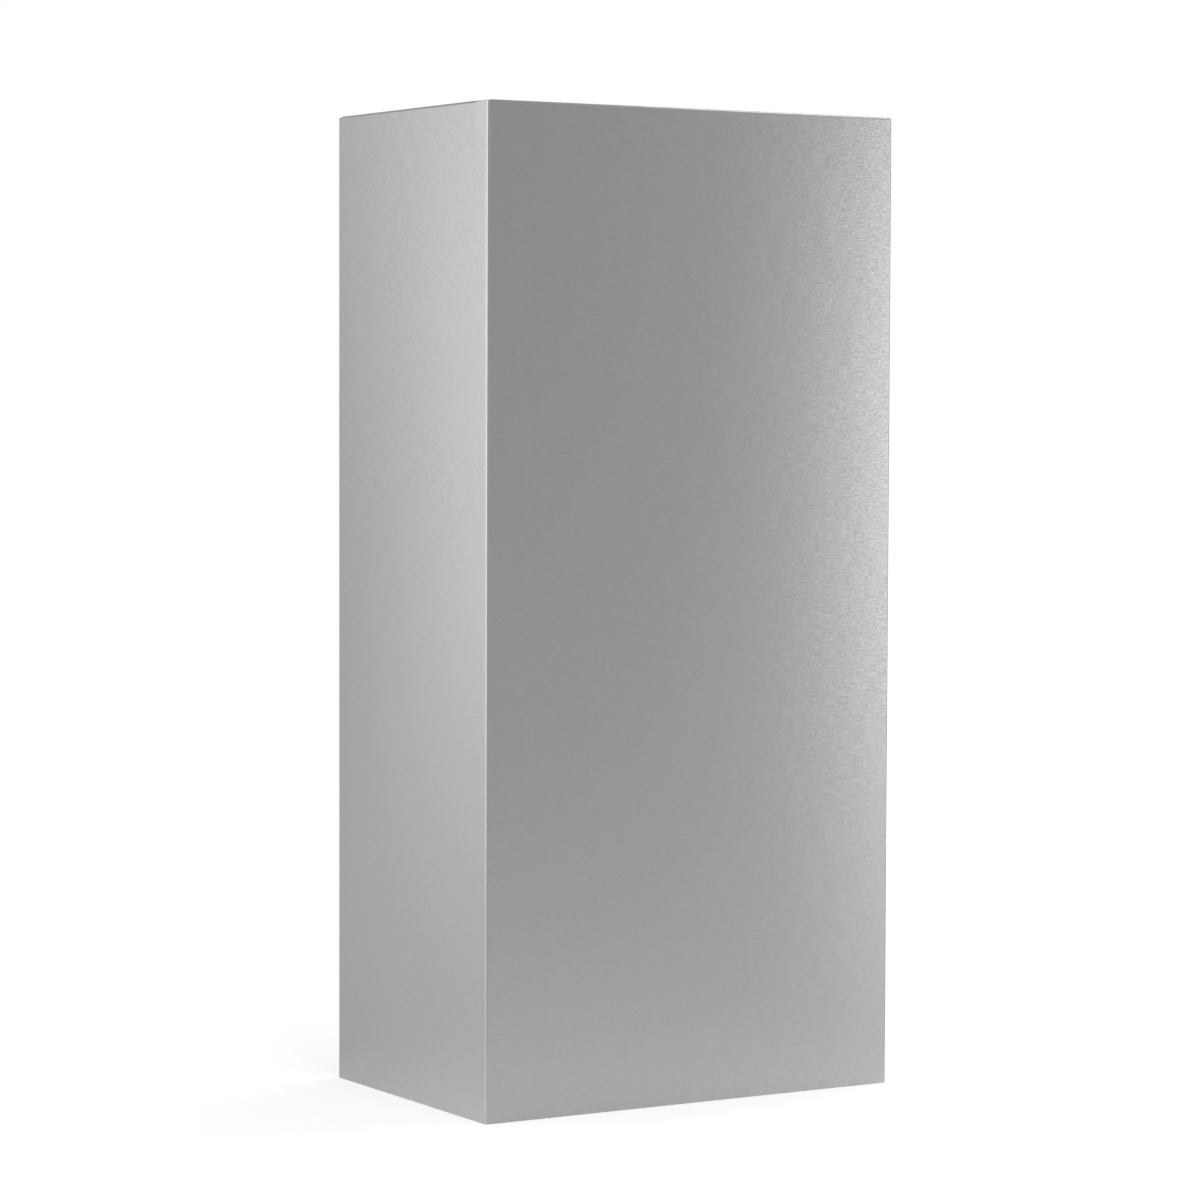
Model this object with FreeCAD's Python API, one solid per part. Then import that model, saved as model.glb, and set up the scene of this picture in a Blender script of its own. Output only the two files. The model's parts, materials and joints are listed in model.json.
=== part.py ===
import FreeCAD, Part
import os

# Chimney section of a wall-mounted cooker hood: one blank of brushed stainless sheet, folded
# into a U that is open towards the wall, with lips that lie on the wall and flanges along the top.
# Millimetres, +Z up. The front faces -Y and the wall plane is at +Y.
# The origin is the middle of the outline, at the bottom edge.

# Driving dimensions, outside to outside
WIDTH = 300.0  # across the front
DEPTH = 196.0  # front face to wall plane
HEIGHT = 627.0  # bottom edge to the top face of the flanges
SHEET = 0.8  # thickness of the sheet
FOLD_INNER_RADIUS = 0.8  # inside radius of every fold
WALL_LIP = 20.0  # width of each lip that lies on the wall
TOP_FLANGE = 14.0  # width of the inward flanges along the top
FLANGE_CORNER_GAP = 1.0  # from the front flange's free edge to the end of each side flange
FLANGE_REAR_GAP = 2.0  # from the rear end of a side flange to the start of the rear fold
NOTCH_DROP = 0.8  # from the flanges' top face down to the bare edge beside them
FREE_CORNER_RADIUS = 3.0  # rounding of the free corners of lips and flanges
SCREW_HOLE = 5.0  # diameter of the fixing holes in the lips
SCREW_HOLE_INSET = 40.0  # from a hole's centre to the bottom edge, or to the top face

# Worked out from the driving dimensions
FOLD_OUTER_RADIUS = FOLD_INNER_RADIUS + SHEET
HALF_WIDTH = WIDTH / 2
HALF_DEPTH = DEPTH / 2
BARE_TOP = HEIGHT - NOTCH_DROP
FLANGE_ROOT = min(BARE_TOP, HEIGHT - FOLD_OUTER_RADIUS) - SHEET
SIDE_FLANGE_FRONT = -HALF_DEPTH + TOP_FLANGE + FLANGE_CORNER_GAP
SIDE_FLANGE_REAR = HALF_DEPTH - FOLD_OUTER_RADIUS - FLANGE_REAR_GAP
SIDES = (-1, 1)

ALONG_X = FreeCAD.Vector(1, 0, 0)
ALONG_Y = FreeCAD.Vector(0, 1, 0)
ALONG_Z = FreeCAD.Vector(0, 0, 1)


def folded_line(points, radius):
    """Edges through the points in order, with a quarter arc of the radius at each inner point."""
    edges = []
    start = points[0]
    for before, corner, after in zip(points, points[1:], points[2:]):
        back = (before - corner).normalize()
        onward = (after - corner).normalize()
        fold_start = corner + back * radius
        fold_end = corner + onward * radius
        centre = corner + (back + onward) * radius
        fold_middle = centre - (back + onward).normalize() * radius
        edges.append(Part.makeLine(start, fold_start))
        edges.append(Part.Arc(fold_start, fold_middle, fold_end).toShape())
        start = fold_end
    edges.append(Part.makeLine(start, points[-1]))
    return edges


def sheet_section(line_at):
    """Face between the sheet's outer line and the same line one thickness further in."""
    outer = line_at(0)
    inner = line_at(SHEET)
    edges = folded_line(outer, FOLD_OUTER_RADIUS)
    edges += folded_line(inner, FOLD_INNER_RADIUS)
    edges.append(Part.makeLine(outer[0], inner[0]))
    edges.append(Part.makeLine(outer[-1], inner[-1]))
    return Part.Face(Part.Wire(Part.__sortEdges__(edges)))


def plan_line(inset):
    """Plan of the section from the left lip's free edge round the front to the right lip's."""
    free_edge = HALF_WIDTH - WALL_LIP
    side = HALF_WIDTH - inset
    wall = HALF_DEPTH - inset
    plan = [(-free_edge, wall), (-side, wall), (-side, -wall), (side, -wall), (side, wall), (free_edge, wall)]
    return [FreeCAD.Vector(x, y, 0) for x, y in plan]


def make_walls():
    """Front, sides and wall lips as one folded strip, up to the bare top edge."""
    return sheet_section(plan_line).extrude(ALONG_Z * BARE_TOP)


def flange_runs():
    """Start on the outside of the wall, run vector and inward direction of each top flange."""
    front_end = HALF_WIDTH - FOLD_OUTER_RADIUS
    front_start = FreeCAD.Vector(-front_end, -HALF_DEPTH, 0)
    yield front_start, ALONG_X * (2 * front_end), ALONG_Y
    for side in SIDES:
        side_start = FreeCAD.Vector(side * HALF_WIDTH, SIDE_FLANGE_FRONT, 0)
        yield side_start, ALONG_Y * (SIDE_FLANGE_REAR - SIDE_FLANGE_FRONT), ALONG_X * -side


def make_flange(start, run, inward):
    """Flange with its fold and the short straight leg that joins it to the wall."""

    def flange_line(inset):
        profile = [(TOP_FLANGE, HEIGHT - inset), (inset, HEIGHT - inset), (inset, FLANGE_ROOT)]
        return [start + inward * reach + ALONG_Z * height for reach, height in profile]

    return sheet_section(flange_line).extrude(run)


def make_wall_strip(start, run, inward):
    """The strip of plain wall that a flange's leg and fold take the place of."""
    foot = start + ALONG_Z * FLANGE_ROOT
    across = inward * SHEET
    strip = Part.makePolygon([foot, foot + across, foot + across + run, foot + run, foot])
    return Part.Face(strip).extrude(ALONG_Z * (HEIGHT - FLANGE_ROOT))


def make_screw_holes():
    """Cutters for the round fixing holes, two on the middle line of each wall lip."""
    holes = []
    for side in SIDES:
        for height in (SCREW_HOLE_INSET, HEIGHT - SCREW_HOLE_INSET):
            inside = FreeCAD.Vector(side * (HALF_WIDTH - WALL_LIP / 2), HALF_DEPTH - 2 * SHEET, height)
            holes.append(Part.makeCylinder(SCREW_HOLE / 2, 3 * SHEET, inside, ALONG_Y))
    return holes


def free_corners():
    """Middle of the sheet's thickness at each free corner of the lips and the flanges."""
    lip_middle = HALF_DEPTH - SHEET / 2
    flange_middle = HEIGHT - SHEET / 2
    for side in SIDES:
        lip_edge = side * (HALF_WIDTH - WALL_LIP)
        yield FreeCAD.Vector(lip_edge, lip_middle, 0)
        yield FreeCAD.Vector(lip_edge, lip_middle, BARE_TOP)
        front_end = side * (HALF_WIDTH - FOLD_OUTER_RADIUS)
        yield FreeCAD.Vector(front_end, -HALF_DEPTH + TOP_FLANGE, flange_middle)
        side_flange_edge = side * (HALF_WIDTH - TOP_FLANGE)
        yield FreeCAD.Vector(side_flange_edge, SIDE_FLANGE_FRONT, flange_middle)
        yield FreeCAD.Vector(side_flange_edge, SIDE_FLANGE_REAR, flange_middle)


def round_free_corners(shell):
    """Round the sheet edge at every free corner."""
    corners = []
    for place in free_corners():
        corners.append(min(shell.Edges, key=lambda edge: edge.CenterOfMass.distanceToPoint(place)))
    return shell.makeFillet(FREE_CORNER_RADIUS, corners)


def make_chimney_shell():
    """The whole folded sheet: walls and lips, then flanges, rounded corners and fixing holes."""
    runs = list(flange_runs())
    walls = make_walls().cut([make_wall_strip(*run) for run in runs])
    shell = walls.fuse([make_flange(*run) for run in runs]).removeSplitter()
    shell = round_free_corners(shell.Solids[0])
    return shell.cut(make_screw_holes()).Solids[0]


chimney_shell = make_chimney_shell()
print("chimney_shell valid:", chimney_shell.isValid(), "volume mm3:", round(chimney_shell.Volume))
os.makedirs("parts", exist_ok=True)
chimney_shell.exportStep("parts/chimney_shell.step")
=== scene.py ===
# %% [markdown]
# # Chimney section of a cooker hood
# The part is the steel cover that hides the duct between a cooker hood and the ceiling. The real one
# is a single blank of brushed stainless sheet, cut flat and folded: a front, two sides, two lips that
# lie on the wall, and three narrow flanges along the top. This lesson loads the CAD solid as a fixed
# frame, folds a finer sheet in exactly the same place, gives it its brushed finish, and then lights
# it as a product photograph.

# %% Load the frame and measure it
import json
import math

import bpy
import numpy as np
from mathutils import Matrix, Vector


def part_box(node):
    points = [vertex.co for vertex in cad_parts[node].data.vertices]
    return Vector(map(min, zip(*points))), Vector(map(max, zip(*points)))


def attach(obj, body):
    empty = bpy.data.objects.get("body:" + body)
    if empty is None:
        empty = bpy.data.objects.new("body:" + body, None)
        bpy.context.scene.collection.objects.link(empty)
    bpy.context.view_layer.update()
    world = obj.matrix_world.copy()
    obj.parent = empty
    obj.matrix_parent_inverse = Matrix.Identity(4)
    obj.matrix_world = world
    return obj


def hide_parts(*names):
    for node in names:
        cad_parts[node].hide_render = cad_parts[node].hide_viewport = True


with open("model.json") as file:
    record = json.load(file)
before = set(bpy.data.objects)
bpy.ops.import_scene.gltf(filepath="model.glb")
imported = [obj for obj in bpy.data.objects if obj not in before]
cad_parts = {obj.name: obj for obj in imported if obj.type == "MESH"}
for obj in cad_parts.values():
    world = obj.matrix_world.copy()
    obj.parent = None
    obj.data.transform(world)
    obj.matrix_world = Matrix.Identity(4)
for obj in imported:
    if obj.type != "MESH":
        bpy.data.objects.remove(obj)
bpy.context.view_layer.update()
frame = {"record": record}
low_corner, high_corner = (np.array(corner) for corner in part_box("chimney_shell"))
width, depth, height = high_corner - low_corner
print(f"CAD box: {width:.4f} wide, {depth:.4f} deep, {height:.4f} high, in metres")

# %% [markdown]
# ## The sheet and its folds
# The CAD mesh has only two or three facets in each fold, and a fold is where bright metal shows its
# light. So the sheet is folded again here with many fine facets. The sizes are those of the CAD part:
# the outline comes from the frame, the screw holes come from the record's mount, and the few sizes
# that the frame can't tell are named here.

# %% Sizes of the sheet
SHEET_THICKNESS = 0.0008
FOLD_RADIUS = 0.0016  # on the outside of the fold
LIP_WIDTH = 0.020
FLANGE_WIDTH = 0.014
FLANGE_CORNER_GAP = 0.001
FLANGE_REAR_GAP = 0.002
NOTCH_DROP = 0.0008  # the bare edge beside a flange lies this much lower
FREE_CORNER_RADIUS = 0.003
SLIT = 0.00012  # the shear cut between a flange and the bare edge beside it
QUARTER_TURN = math.pi / 2
TINY = 1e-9  # slack for rounding where lengths are compared

screw_mount = next(m for m in frame["record"]["mounts"] if m["name"] == "wall_screw_holes")
hole_radius = screw_mount["dims"]["hole_r_mm"] / 1000
hole_rise = screw_mount["dims"]["spacing_y_mm"] / 1000
hole_height = screw_mount["pos_m"][2]
hole_levels = (hole_height - hole_rise / 2, hole_height + hole_rise / 2)
fold_length = FOLD_RADIUS * QUARTER_TURN
print(f"holes of radius {hole_radius:.4f} at heights {hole_levels[0]:.3f} and {hole_levels[1]:.3f}")

# %% [markdown]
# ## Laying out the flat blank
# A sheet-metal shop draws the part flat before folding it. The blank has two coordinates: u runs round
# the section from the free edge of the left lip to that of the right lip, and v runs up the wall and
# on over the top fold. Grid lines are close together in the folds, at rounded corners and round the
# holes, and wide apart on the plain panels. Each stretch between two marks on the blank is written as
# its start and its number of cells. The blank is symmetric, so half of it is laid out and then mirrored.


# %% Grid lines of the blank
def grid_lines(stretches, end):
    """Lines up to the end. A stretch is its start and the number of even cells from there to the next."""
    starts, counts = zip(*stretches)
    stops = [*starts, end]
    lines = [np.linspace(a, b, n, endpoint=False) for a, b, n in zip(stops, stops[1:], counts)]
    return np.concatenate([*lines, [end]])


FOLD_CELLS = 12
CORNER_CELLS = 5
HOLE_CELLS = 16
HOLE_WINDOW = 2  # half the width of the fine window round a hole, in hole radii

lip_flat = LIP_WIDTH - FOLD_RADIUS
hole_across = LIP_WIDTH / 2
hole_reach = HOLE_WINDOW * hole_radius
side_start = lip_flat + fold_length
side_end = side_start + depth - 2 * FOLD_RADIUS
front_start = side_end + fold_length
front_end = front_start + width - 2 * FOLD_RADIUS
blank_width = front_end + front_start

side_run = (side_start + FLANGE_REAR_GAP, side_end + FOLD_RADIUS - FLANGE_WIDTH - FLANGE_CORNER_GAP)
front_run = (front_start + SLIT, front_end - SLIT)
far_side_run = (blank_width - side_run[1], blank_width - side_run[0])
flange_runs = (side_run, front_run, far_side_run)

half_stretches = [
    (0, CORNER_CELLS),
    (FREE_CORNER_RADIUS, 2),
    (hole_across - hole_reach, HOLE_CELLS),
    (hole_across + hole_reach, 2),
    (lip_flat, FOLD_CELLS),
    (side_start, 2),
    (side_run[0] - SLIT, 1),
    (side_run[0], CORNER_CELLS),
    (side_run[0] + FREE_CORNER_RADIUS, 28),
    (side_run[1] - FREE_CORNER_RADIUS, CORNER_CELLS),
    (side_run[1], 1),
    (side_run[1] + SLIT, 6),
    (side_end, FOLD_CELLS),
    (front_start, 1),
    (front_run[0], CORNER_CELLS),
    (front_run[0] + FREE_CORNER_RADIUS, 24),
]
half_lines = grid_lines(half_stretches, blank_width / 2)
u_lines = np.concatenate([half_lines, blank_width - half_lines[-2::-1]])

bare_top = height - NOTCH_DROP
fold_foot = height - FOLD_RADIUS
flange_start = fold_foot + fold_length
flange_end = flange_start + FLANGE_WIDTH - FOLD_RADIUS
v_stretches = [
    (0, CORNER_CELLS),
    (FREE_CORNER_RADIUS, 6),
    (hole_levels[0] - hole_reach, HOLE_CELLS),
    (hole_levels[0] + hole_reach, 56),
    (hole_levels[1] - hole_reach, HOLE_CELLS),
    (hole_levels[1] + hole_reach, 6),
    (bare_top - FREE_CORNER_RADIUS, 3),
    (fold_foot, 4),
    (bare_top, 8),
    (flange_start, 6),
    (flange_end - FREE_CORNER_RADIUS, CORNER_CELLS),
]
v_lines = grid_lines(v_stretches, flange_end)
print(f"blank {blank_width:.4f} by {flange_end:.4f} m, {len(u_lines)} by {len(v_lines)} grid lines")

# %% [markdown]
# ## Cutting the blank
# Cutting means choosing which grid cells are metal. Below the top fold everything is. Above it, metal
# goes on only in the three flange runs, and beside them the sheet ends at a bare edge a little lower.
# The screw holes are square openings in the grid that are then drawn out into circles, and the free
# corners are squares of cells drawn into quarter discs, both by the same square-to-disc formula.


# %% Which cells are metal
def within(position, run):
    """True where the position lies on the run, its ends included."""
    return (position >= run[0] - TINY) & (position <= run[1] + TINY)


def on_any(position, runs):
    """True where the position lies on any of the runs."""
    return np.any([within(position, run) for run in runs], axis=0)


u_middles = (u_lines[1:] + u_lines[:-1]) / 2
v_middles = (v_lines[1:] + v_lines[:-1]) / 2
slits = [(run[0] - SLIT, run[0]) for run in flange_runs] + [(run[1], run[1] + SLIT) for run in flange_runs]
flange_column = on_any(u_middles, flange_runs)[:, None]
bare_column = ~flange_column & ~on_any(u_middles, slits)[:, None]
metal = (v_middles < fold_foot) | flange_column | (bare_column & (v_middles < bare_top))

hole_places = [(u, v) for u in (hole_across, blank_width - hole_across) for v in hole_levels]
for hole_u, hole_v in hole_places:
    metal &= ~((abs(u_middles - hole_u) < hole_radius)[:, None] & (abs(v_middles - hole_v) < hole_radius))
print(f"{metal.sum()} of {metal.size} cells are metal")


# %% Round the corners and the holes
def square_to_disc(a, b):
    """Each coordinate times the root of one minus half the other's square: the unit square's border
    lands on the unit circle, and the two middle lines stay where they are."""
    return a * np.sqrt(1 - b**2 / 2), b * np.sqrt(1 - a**2 / 2)


def round_corner(u, v, corner, outward):
    """Draw the square of cells inside a free corner into a quarter disc."""
    centre = np.array(corner) - np.array(outward) * FREE_CORNER_RADIUS
    a = (u - centre[0]) * outward[0] / FREE_CORNER_RADIUS
    b = (v - centre[1]) * outward[1] / FREE_CORNER_RADIUS
    inside = within(a, (0, 1)) & within(b, (0, 1))
    across, along = square_to_disc(np.clip(a, 0, 1), np.clip(b, 0, 1))
    u = np.where(inside, centre[0] + outward[0] * FREE_CORNER_RADIUS * across, u)
    v = np.where(inside, centre[1] + outward[1] * FREE_CORNER_RADIUS * along, v)
    return u, v


def round_hole(u, v, place):
    """Slide grid points between a hole's square opening and the window round it, so that the opening
    becomes a circle and the window's border stays."""
    a = (u - place[0]) / hole_radius
    b = (v - place[1]) / hole_radius
    reach = np.maximum(np.maximum(abs(a), abs(b)), TINY)
    near = within(reach, (1, HOLE_WINDOW))
    circle = square_to_disc(np.clip(a / reach, -1, 1), np.clip(b / reach, -1, 1))
    share = (reach - 1) / (HOLE_WINDOW - 1)
    new_a = circle[0] * (1 - share) + a / reach * HOLE_WINDOW * share
    new_b = circle[1] * (1 - share) + b / reach * HOLE_WINDOW * share
    u = np.where(near, place[0] + hole_radius * new_a, u)
    v = np.where(near, place[1] + hole_radius * new_b, v)
    return u, v


u_grid, v_grid = np.meshgrid(u_lines, v_lines, indexing="ij")
for lip_edge, outward_u in ((0, -1), (blank_width, 1)):
    u_grid, v_grid = round_corner(u_grid, v_grid, (lip_edge, 0), (outward_u, -1))
    u_grid, v_grid = round_corner(u_grid, v_grid, (lip_edge, bare_top), (outward_u, 1))
for run in flange_runs:
    u_grid, v_grid = round_corner(u_grid, v_grid, (run[0], flange_end), (-1, 1))
    u_grid, v_grid = round_corner(u_grid, v_grid, (run[1], flange_end), (1, 1))
for place in hole_places:
    u_grid, v_grid = round_hole(u_grid, v_grid, place)
print(f"{4 + 2 * len(flange_runs)} corners and {len(hole_places)} holes rounded")

# %% [markdown]
# ## Folding the blank
# One formula folds every point. In plan, the sheet is a circle of the fold radius whose centre walks
# round a smaller U: while the centre stands still the normal turns, which is a fold, and while it
# walks the normal stands still, which is a flat panel. So three linear interpolations along u give the
# centre and the direction, and three more along v do the same for the top fold. A point at some depth
# below the outer skin lies that much nearer to the centre. Last, the bare corners beside the front
# folds, which no flange holds straight, are leaned inwards by a fraction of a millimetre.


# %% Fold the blank
def plan_normal_and_outline(u):
    """Outward direction and outer outline in plan: the walking centre plus the fold radius along the
    direction that the centre looks in."""
    stops = np.array([0, lip_flat, side_start, side_end, front_start, front_end])
    stops = np.concatenate([stops, blank_width - stops[3::-1]])
    side_x = width / 2 - FOLD_RADIUS
    lip_x = width / 2 - LIP_WIDTH
    wall_y = depth / 2 - FOLD_RADIUS
    centre_x = np.interp(u, stops, [-lip_x] + [-side_x] * 4 + [side_x] * 4 + [lip_x])
    centre_y = np.interp(u, stops, [wall_y] * 3 + [-wall_y] * 4 + [wall_y] * 3)
    turn = np.interp(u, stops, [QUARTER_TURN * n for n in (1, 1, 2, 2, 3, 3, 4, 4, 5, 5)])
    normal = np.stack([np.cos(turn), np.sin(turn)], axis=-1)
    centre = np.stack([centre_x, centre_y], axis=-1)
    return normal, centre + FOLD_RADIUS * normal


def fold(u, v, on_flange, below):
    """Point of the folded sheet at blank position (u, v), the given depth below its outer skin."""
    normal, outline = plan_normal_and_outline(u)
    stops = [0, fold_foot, flange_start, flange_end]
    lean = np.where(on_flange, np.interp(v, stops, [0, 0, QUARTER_TURN, QUARTER_TURN]), 0)
    centre_height = np.where(on_flange, np.minimum(v, fold_foot), v)
    flange_inward = np.interp(v, stops, [FOLD_RADIUS] * 3 + [FLANGE_WIDTH])
    centre_inward = np.where(on_flange, flange_inward, FOLD_RADIUS)
    radius = FOLD_RADIUS - below
    inward = centre_inward - radius * np.cos(lean)
    plan = outline - normal * inward[..., None]
    return np.concatenate([plan, (centre_height + radius * np.sin(lean))[..., None]], axis=-1)


CORNER_PRESS = 0.00015  # how far a bare corner leans inwards
CORNER_PRESS_REACH = 0.035  # how far the lean goes down the wall and along the front


def press_bare_corners(points, u, v):
    """Lean the bare corners beside the front folds inwards. The shift grows from the flange's end to
    the fold, stays the same round it, dies out along the front, and fades smoothly down the wall."""
    stops = [side_run[1], side_end, front_start, front_start + CORNER_PRESS_REACH]
    share = np.interp(u, stops, [0, 1, 1, 0]) - np.interp(blank_width - u, stops, [0, 1, 1, 0])
    rise = np.clip(1 - (bare_top - v) / CORNER_PRESS_REACH, 0, 1)
    shift = CORNER_PRESS * share * rise**2 * (3 - 2 * rise)
    return points + shift[..., None] * np.array([1, 0, 0])


flange_line = np.broadcast_to(on_any(u_lines, flange_runs)[:, None], u_grid.shape)
outer_skin = press_bare_corners(fold(u_grid, v_grid, flange_line, 0), u_grid, v_grid)
inner_skin = press_bare_corners(fold(u_grid, v_grid, flange_line, SHEET_THICKNESS), u_grid, v_grid)
print(f"folded height {outer_skin[metal.nonzero()][:, 2].max():.4f} m")

# %% [markdown]
# ## Closing the sheet
# A sheet has two skins and, wherever the shears went through, a narrow cut edge between them. Every
# metal cell gives one face on each skin, and every side of a cell with no metal beyond it gives one
# edge face. The three kinds go into three material slots, because the outside is brushed, the inside
# is plain mill finish and the cut edges are raw.


# %% Build the mesh
SHARP_EDGE = math.radians(35)


def cell_faces(cells, order):
    """Corner numbers of the chosen cells, in the order named by letters round each cell."""
    numbers = np.arange(u_grid.size).reshape(u_grid.shape)
    corners = {"a": numbers[:-1, :-1], "b": numbers[1:, :-1], "c": numbers[1:, 1:], "d": numbers[:-1, 1:]}
    return np.stack([corners[letter][cells] for letter in order], axis=-1)


def close_sheet(cells):
    """Faces of both skins and of the cut edges, with the slot number of each face."""
    inner_start = u_grid.size
    padded = np.pad(cells, 1)
    edges = {
        "ad": cells & ~padded[:-2, 1:-1],
        "cb": cells & ~padded[2:, 1:-1],
        "ba": cells & ~padded[1:-1, :-2],
        "dc": cells & ~padded[1:-1, 2:],
    }
    outer = cell_faces(cells, "abcd")
    inner = cell_faces(cells, "adcb") + inner_start
    walls = [cell_faces(chosen, pair) for pair, chosen in edges.items()]
    walls = [np.concatenate([wall, wall[:, ::-1] + inner_start], axis=1) for wall in walls]
    cut = np.concatenate(walls)
    slots = np.repeat([0, 1, 2], [len(outer), len(inner), len(cut)])
    return np.concatenate([outer, inner, cut]), slots


faces, face_slots = close_sheet(metal)
points = np.concatenate([outer_skin.reshape(-1, 3), inner_skin.reshape(-1, 3)])
blank_places = np.tile(np.stack([u_grid.ravel(), v_grid.ravel()], axis=-1), (2, 1))
used, faces_used = np.unique(faces, return_inverse=True)
faces_used = faces_used.reshape(faces.shape)

sheet_mesh = bpy.data.meshes.new("folded_sheet")
sheet_mesh.from_pydata(points[used].tolist(), [], faces_used.tolist())
blank_map = sheet_mesh.uv_layers.new(name="blank")
blank_map.uv.foreach_set("vector", blank_places[faces.ravel()].astype(np.float32).ravel())
sheet_mesh.polygons.foreach_set("material_index", face_slots)
sheet_mesh.polygons.foreach_set("use_smooth", np.ones(len(faces), bool))
sheet_mesh.set_sharp_from_angle(angle=SHARP_EDGE)
sheet = bpy.data.objects.new("folded_sheet", sheet_mesh)
bpy.context.scene.collection.objects.link(sheet)
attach(sheet, "root")
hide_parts("chimney_shell")
print(f"folded sheet: {len(used)} points, {len(faces)} faces")

# %% [markdown]
# ## Brushed stainless steel
# The outside was ground with a belt along the sheet, which leaves fine scratches from a few
# millimetres to a centimetre long, all running round the section. Light spreads widely across such
# scratches and little along them, and the shader's anisotropy gives that spread. The scratches
# themselves could be an image, but two stretched noises on the blank's own coordinates, a short one
# and a long one, follow the sheet round every fold. Each scratch is a little lighter or darker than
# the next and turns the surface a little, so the grain shows most where a highlight fades out.


# %% Node helpers
def add_node(tree, kind, settings=None, **inputs):
    """Add a shader node, set its properties, then link or set each named input."""
    node = tree.nodes.new(kind)
    for name, value in (settings or {}).items():
        setattr(node, name, value)
    for name, value in inputs.items():
        socket = node.inputs[name.replace("_", " ")]
        if isinstance(value, bpy.types.NodeSocket):
            tree.links.new(value, socket)
        else:
            socket.default_value = value
    return node


def new_material(name):
    """An empty node material and its tree."""
    material = bpy.data.materials.new(name)
    material.use_nodes = True
    material.node_tree.nodes.clear()
    return material, material.node_tree


def stretched_noise(tree, size, detail, falloff):
    """Noise on the blank with features of the given size, which is the length along u and the width
    across it. Detail counts its finer layers, and falloff is how strong each is beside the last."""
    along, across = size
    place = add_node(tree, "ShaderNodeUVMap", {"uv_map": "blank"}).outputs["UV"]
    scale = (1 / along, 1 / across, 1)
    scaled = add_node(tree, "ShaderNodeMapping", Vector=place, Scale=scale).outputs["Vector"]
    noise = add_node(
        tree, "ShaderNodeTexNoise", {"noise_dimensions": "2D"},
        Vector=scaled, Scale=1.0, Detail=detail, Roughness=falloff,
    )
    return noise.outputs[0]


def spread(tree, value, low, high):
    """The value from 0 to 1 spread to the range from low to high."""
    node = add_node(tree, "ShaderNodeMapRange", Value=value, To_Min=low, To_Max=high)
    return node.outputs["Result"]


def ease(tree, value, span, levels):
    """One level before the span, the other after it, and a smooth step between."""
    settings = {"interpolation_type": "SMOOTHSTEP"}
    ends = {"From_Min": span[0], "From_Max": span[1], "To_Min": levels[0], "To_Max": levels[1]}
    return add_node(tree, "ShaderNodeMapRange", settings, Value=value, **ends).outputs["Result"]


def grey(tree, shade):
    """Neutral colour of one shade."""
    return add_node(tree, "ShaderNodeCombineColor", Red=shade, Green=shade, Blue=shade).outputs["Color"]


def relief(tree, height, strength, depth):
    """The normal of bumps of the given depth, softened to the given strength."""
    bumps = add_node(tree, "ShaderNodeBump", Strength=strength, Distance=depth, Height=height)
    return bumps.outputs["Normal"]


def bare_metal(tree, shade, roughness, **inputs):
    """Bare grey metal, joined to the output of its material."""
    looks = {"Base_Color": grey(tree, shade), "Metallic": 1.0, "Roughness": roughness, **inputs}
    steel = add_node(tree, "ShaderNodeBsdfPrincipled", **looks)
    add_node(tree, "ShaderNodeOutputMaterial", Surface=steel.outputs["BSDF"])


# %% The brushed outside
STEEL_GREY = 0.60
BRUSHED_ROUGHNESS = 0.283
STREAK_ROUGHNESS = 0.008  # how far the roughness differs from streak to streak
SCRATCH_SHADE = 0.13  # how far a scratch is lighter or darker, as a share
GRAIN_TILT = 0.030  # how far a scratch turns the surface along the grain, as a slope
SHORT_SCRATCH = (0.003, 0.0006)  # length along the grain and width across it
LONG_SCRATCH = (0.011, 0.0005)
STREAK = (0.07, 0.006)
SCRATCH_DEPTH = 0.0001
GRAIN_ANISOTROPY = 0.9
SPREAD_ACROSS = 0.25  # share of a full turn that lays the wide spread of light across the grain


def tilt_along(tree, normal, grain, slope):
    """The normal turned along the grain direction by a slope that changes from scratch to scratch."""
    turned = add_node(tree, "ShaderNodeVectorMath", {"operation": "SCALE"}, Vector=grain, Scale=slope)
    added = add_node(tree, "ShaderNodeVectorMath", {"operation": "ADD"})
    tree.links.new(normal, added.inputs[0])
    tree.links.new(turned.outputs["Vector"], added.inputs[1])
    to_unit = {"operation": "NORMALIZE"}
    return add_node(tree, "ShaderNodeVectorMath", to_unit, Vector=added.outputs["Vector"]).outputs["Vector"]


def brushed_outside():
    """Ground finish: fine scratches of two lengths that turn the surface, in broad streaks of gloss."""
    material, tree = new_material("brushed_outside")
    short = stretched_noise(tree, SHORT_SCRATCH, detail=1.0, falloff=0.5)
    long = stretched_noise(tree, LONG_SCRATCH, detail=2.0, falloff=0.6)
    scratches = add_node(tree, "ShaderNodeMix", Factor=0.5, A=short, B=long).outputs["Result"]
    streaks = stretched_noise(tree, STREAK, detail=3.0, falloff=0.6)
    shade = spread(tree, scratches, STEEL_GREY * (1 - SCRATCH_SHADE), STEEL_GREY * (1 + SCRATCH_SHADE))
    smoothest, roughest = BRUSHED_ROUGHNESS - STREAK_ROUGHNESS, BRUSHED_ROUGHNESS + STREAK_ROUGHNESS
    roughness = spread(tree, streaks, smoothest, roughest)
    round_section = {"direction_type": "UV_MAP", "uv_map": "blank"}
    grain = add_node(tree, "ShaderNodeTangent", round_section).outputs["Tangent"]
    slope = spread(tree, scratches, -GRAIN_TILT, GRAIN_TILT)
    bumps = relief(tree, scratches, strength=0.1, depth=SCRATCH_DEPTH)
    bare_metal(
        tree, shade, roughness, Normal=tilt_along(tree, bumps, grain, slope), Tangent=grain,
        Anisotropic=GRAIN_ANISOTROPY, Anisotropic_Rotation=SPREAD_ACROSS,
    )
    return material


sheet_mesh.materials.append(brushed_outside())
print("first finish:", sheet_mesh.materials[0].name)

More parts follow.
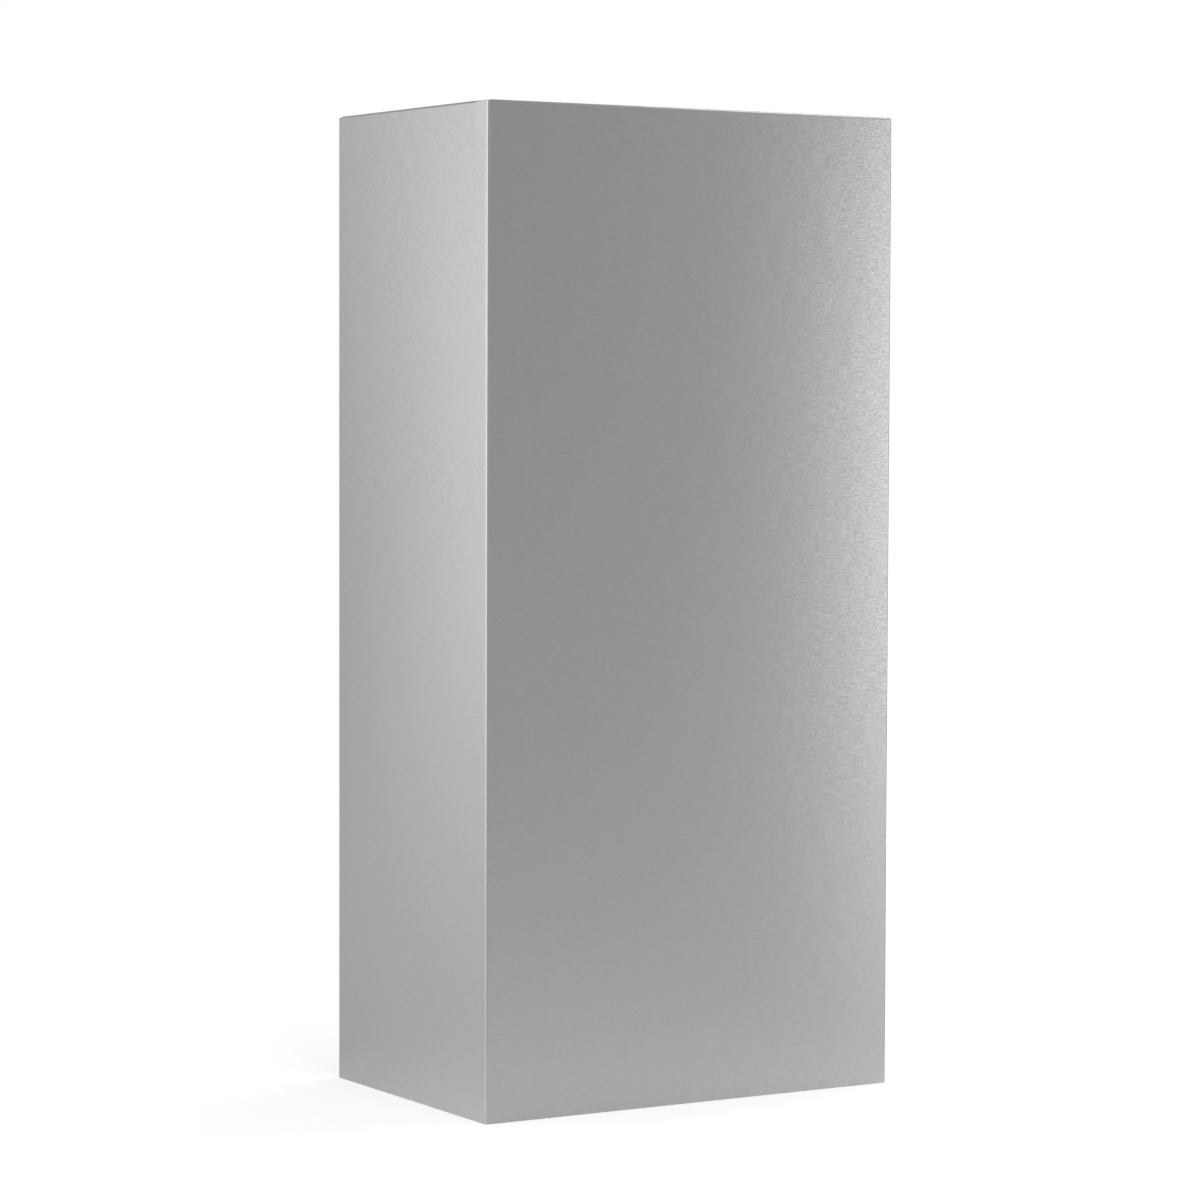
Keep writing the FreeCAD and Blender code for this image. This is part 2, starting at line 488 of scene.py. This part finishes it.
# %% [markdown]
# ## Mill finish and cut edges
# The inside of the sheet was never ground. It keeps the even grey bloom of the rolling mill, with only
# faint clouds and rolling lines. The sheared edges are brighter on one half and rougher on the other,
# which at this size reads as a slightly lighter line.


# %% The inside and the cut edges
CLOUD = (0.06, 0.05)  # length along the blank and width across it
CLOUD_DEPTH = 0.0005
ROLLING_LINE = (0.25, 0.004)
MILL_SHADES = (0.50, 0.56)
MILL_ROUGHNESS = (0.34, 0.44)
DRAG_MARK = (0.0004, 0.0004)
EDGE_SHADES = (0.56, 0.70)
EDGE_ROUGHNESS = (0.30, 0.50)


def mill_inside():
    """Cold-rolled finish: soft even gloss with faint clouds and rolling lines."""
    material, tree = new_material("mill_inside")
    clouds = stretched_noise(tree, CLOUD, detail=3.0, falloff=0.5)
    rolling = stretched_noise(tree, ROLLING_LINE, detail=2.0, falloff=0.5)
    shade = spread(tree, rolling, *MILL_SHADES)
    roughness = spread(tree, clouds, *MILL_ROUGHNESS)
    bare_metal(tree, shade, roughness, Normal=relief(tree, clouds, strength=0.05, depth=CLOUD_DEPTH))
    return material


def sheared_edge():
    """Raw cut edge: bright metal with fine drag marks."""
    material, tree = new_material("sheared_edge")
    drag = stretched_noise(tree, DRAG_MARK, detail=2.0, falloff=0.6)
    bare_metal(tree, spread(tree, drag, *EDGE_SHADES), spread(tree, drag, *EDGE_ROUGHNESS))
    return material


for make_finish in (mill_inside, sheared_edge):
    sheet_mesh.materials.append(make_finish())
print("finishes:", [material.name for material in sheet_mesh.materials])

# %% [markdown]
# ## Floor and surroundings
# The picture has a plain white ground. The floor is a pale diffuse sheet that catches the part's soft
# shadow. To the camera it also glows a little, and more far away, so that it reaches white and meets
# the white backdrop without more light on the metal. Rays that reflect see a painted pool of light
# instead: a weaker glow on the floor by the foot of the front, which only the metal mirrors. It lightens
# the reflection where the floor lies in the part's own shade. They also see a backdrop that is lighter
# than the rest of the room. It ends at some height, as a roll of paper does, and the darker room above
# it draws the thin dark line along the top of the left side.

# %% Floor and world
WHITE = (1, 1, 1, 1)
FLOOR_SIZE = 40.0
FLOOR_PALE = 0.85
FLOOR_ROUGHNESS = 0.9
FLOOR_GLOW_NEAR = 0.50  # what the camera sees on top of the lit floor beside the part
FLOOR_GLOW_FAR = 0.74  # and far away, where it meets the backdrop
FLOOR_GLOW_SPAN = (0.2, 3.0)  # distances from the middle between which one passes into the other
# Painted light: a pool of glow on the floor round the place below that only reflections see. It lightens
# the foot of the front where the floor lies in the part's own shade.
PAINTED_FOOT_GLOW = 0.235  # what a reflection sees on top of the lit floor, round the place below
PAINTED_GLOW_PLACE = (-0.07, -0.10, 0.0)
PAINTED_GLOW_SPAN = (0.12, 0.35)  # distances from that place between which it dies out
STUDIO_GREY = 0.42  # brightness of the room round the part
BACKDROP_IN_METAL = 0.63  # and of the backdrop, where metal mirrors it
BACKDROP_SIDES = (0.4, 0.9)  # how far back a direction points where the backdrop begins and is full
BACKDROP_TOP = (0.15, 0.45)  # how far up a direction points where it begins to fade and has ended


def white_floor():
    """Pale diffuse floor with a glow for the camera, and a weaker painted pool of light by the part's foot
    that only reflections see.
    """
    material, tree = new_material("white_floor")
    rays = add_node(tree, "ShaderNodeLightPath").outputs
    place = add_node(tree, "ShaderNodeTexCoord").outputs["Object"]
    away = add_node(tree, "ShaderNodeVectorMath", {"operation": "LENGTH"}, Vector=place).outputs["Value"]
    for_camera = ease(tree, away, FLOOR_GLOW_SPAN, (FLOOR_GLOW_NEAR, FLOOR_GLOW_FAR))
    # Painted light: the glow round the foot of the front, seen only by rays that reflect off the metal.
    from_foot = add_node(tree, "ShaderNodeVectorMath", {"operation": "DISTANCE"}, Vector=place)
    from_foot.inputs[1].default_value = PAINTED_GLOW_PLACE
    painted_foot_glow = ease(tree, from_foot.outputs["Value"], PAINTED_GLOW_SPAN, (PAINTED_FOOT_GLOW, 0.0))
    painted_glow_in_reflections = spread(tree, rays["Is Glossy Ray"], 0.0, painted_foot_glow)
    floor = add_node(
        tree, "ShaderNodeBsdfPrincipled", Base_Color=(FLOOR_PALE, FLOOR_PALE, FLOOR_PALE, 1),
        Roughness=FLOOR_ROUGHNESS, Specular_IOR_Level=0.0, Emission_Color=WHITE,
        Emission_Strength=spread(tree, rays["Is Camera Ray"], painted_glow_in_reflections, for_camera),
    )
    add_node(tree, "ShaderNodeOutputMaterial", Surface=floor.outputs["BSDF"])
    return material


def studio_world():
    """White to the camera, a dim room to everything else, and to metal a lighter backdrop behind."""
    world = bpy.data.worlds.new("studio")
    world.use_nodes = True
    tree = world.node_tree
    tree.nodes.clear()
    rays = add_node(tree, "ShaderNodeLightPath").outputs
    direction = add_node(tree, "ShaderNodeTexCoord").outputs["Generated"]
    parts = add_node(tree, "ShaderNodeSeparateXYZ", Vector=direction).outputs
    paper = ease(tree, parts["Z"], BACKDROP_TOP, (BACKDROP_IN_METAL, STUDIO_GREY))
    backdrop = ease(tree, parts["Y"], BACKDROP_SIDES, (STUDIO_GREY, paper))
    room = spread(tree, rays["Is Glossy Ray"], STUDIO_GREY, backdrop)
    level = spread(tree, rays["Is Camera Ray"], room, 1.0)
    sky = add_node(tree, "ShaderNodeBackground", Color=WHITE, Strength=level)
    add_node(tree, "ShaderNodeOutputWorld", Surface=sky.outputs["Background"])
    return world


half_floor = FLOOR_SIZE / 2
floor_mesh = bpy.data.meshes.new("studio_floor")
floor_corners = [(x * half_floor, y * half_floor, 0) for x, y in ((-1, -1), (1, -1), (1, 1), (-1, 1))]
floor_mesh.from_pydata(floor_corners, [], [(0, 1, 2, 3)])
floor_mesh.materials.append(white_floor())
studio_floor = bpy.data.objects.new("studio_floor", floor_mesh)
bpy.context.scene.collection.objects.link(studio_floor)

bpy.context.scene.world = studio_world()
print("floor and world ready")

# %% [markdown]
# ## Soft lights
# Metal shows its surroundings, so the lamps are large panels and their places matter more than their
# strength. The right strip stands in front and fills the right part of the front panel. The left
# softbox stands behind and brightens the left side towards the near fold. The rim and fold softboxes
# stand where, from the picture's own view, only the rounded folds mirror them, and draw the bright
# lines there. The edge softbox does the same for the top edge, and the floor softbox lights the ground
# in front. All of them are hidden from the camera, so that none shows in a view from another side.


# %% Softboxes
LAMP_RING = 2.2  # distance of the standing lamps from the middle of the part


def softbox(name, centre, aim, size, radiance, roll=0.0):
    """Rectangular lamp at centre, facing aim, turned by roll degrees about the line between them. Its
    power is its radiance times pi times its area."""
    lamp = bpy.data.lights.new(name, "AREA")
    lamp.shape = "RECTANGLE"
    lamp.size, lamp.size_y = size
    lamp.energy = radiance * math.pi * size[0] * size[1]
    piece = bpy.data.objects.new(name, lamp)
    bpy.context.scene.collection.objects.link(piece)
    piece.location = centre
    piece.visible_camera = False
    facing = (Vector(aim) - Vector(centre)).to_track_quat("-Z", "Y").to_matrix()
    piece.rotation_euler = (facing @ Matrix.Rotation(math.radians(roll), 3, "Z")).to_euler()
    return piece


def standing_softbox(name, azimuth, middle, size, radiance, roll=0.0):
    """Softbox on a ring round the part, at an angle in degrees from the front towards the right, with
    the height of its middle given."""
    turn = math.radians(azimuth)
    centre = (LAMP_RING * math.sin(turn), -LAMP_RING * math.cos(turn), middle)
    return softbox(name, centre, (0, 0, middle), size, radiance, roll)


standing_softbox("right_strip", azimuth=41.5, middle=0.48, size=(0.30, 0.94), radiance=2.35, roll=-3.5)
standing_softbox("left_softbox", azimuth=-139.7, middle=0.51, size=(0.63, 0.90), radiance=0.8, roll=2)
standing_softbox("rim_softbox", azimuth=118, middle=0.8, size=(1.6, 1.6), radiance=1.5)
standing_softbox("fold_softbox", azimuth=-100, middle=0.7, size=(2.4, 1.4), radiance=1.3)
softbox("floor_softbox", centre=(-0.15, -0.75, 1.3), aim=(0, -0.35, 0), size=(0.5, 0.5), radiance=2.65)
softbox("edge_softbox", centre=(1.3, -0.1, 1.9), aim=(0, 0, 0.6), size=(0.9, 0.9), radiance=2.0)

# %% [markdown]
# ## Camera
# The view was worked out from the six corners that the photograph shows: a long lens, a little above
# the middle of the part and about a third of a right angle round from its front.

# %% Camera
CAMERA_AZIMUTH = math.radians(-31.2)
CAMERA_ELEVATION = math.radians(3.05)
CAMERA_ROLL = math.radians(0.2)
CAMERA_DISTANCE = 2.606
CAMERA_LENS = 120.2
SENSOR_WIDTH = 36.0
CAMERA_AIM = np.array([-0.0073, 0.0044, 0.3145])

camera_data = bpy.data.cameras.new("camera")
camera_data.lens = CAMERA_LENS
camera_data.sensor_width = SENSOR_WIDTH
camera = bpy.data.objects.new("camera", camera_data)
bpy.context.scene.collection.objects.link(camera)
backward = np.array([
    math.sin(CAMERA_AZIMUTH) * math.cos(CAMERA_ELEVATION),
    -math.cos(CAMERA_AZIMUTH) * math.cos(CAMERA_ELEVATION),
    math.sin(CAMERA_ELEVATION),
])
camera.location = CAMERA_AIM + backward * CAMERA_DISTANCE
facing = Vector(-backward).to_track_quat("-Z", "Y").to_matrix()
camera.rotation_euler = (facing @ Matrix.Rotation(CAMERA_ROLL, 3, "Z")).to_euler()
bpy.context.scene.camera = camera
bpy.context.scene.view_settings.view_transform = "Standard"
print(f"camera at {tuple(round(x, 3) for x in camera.location)}")
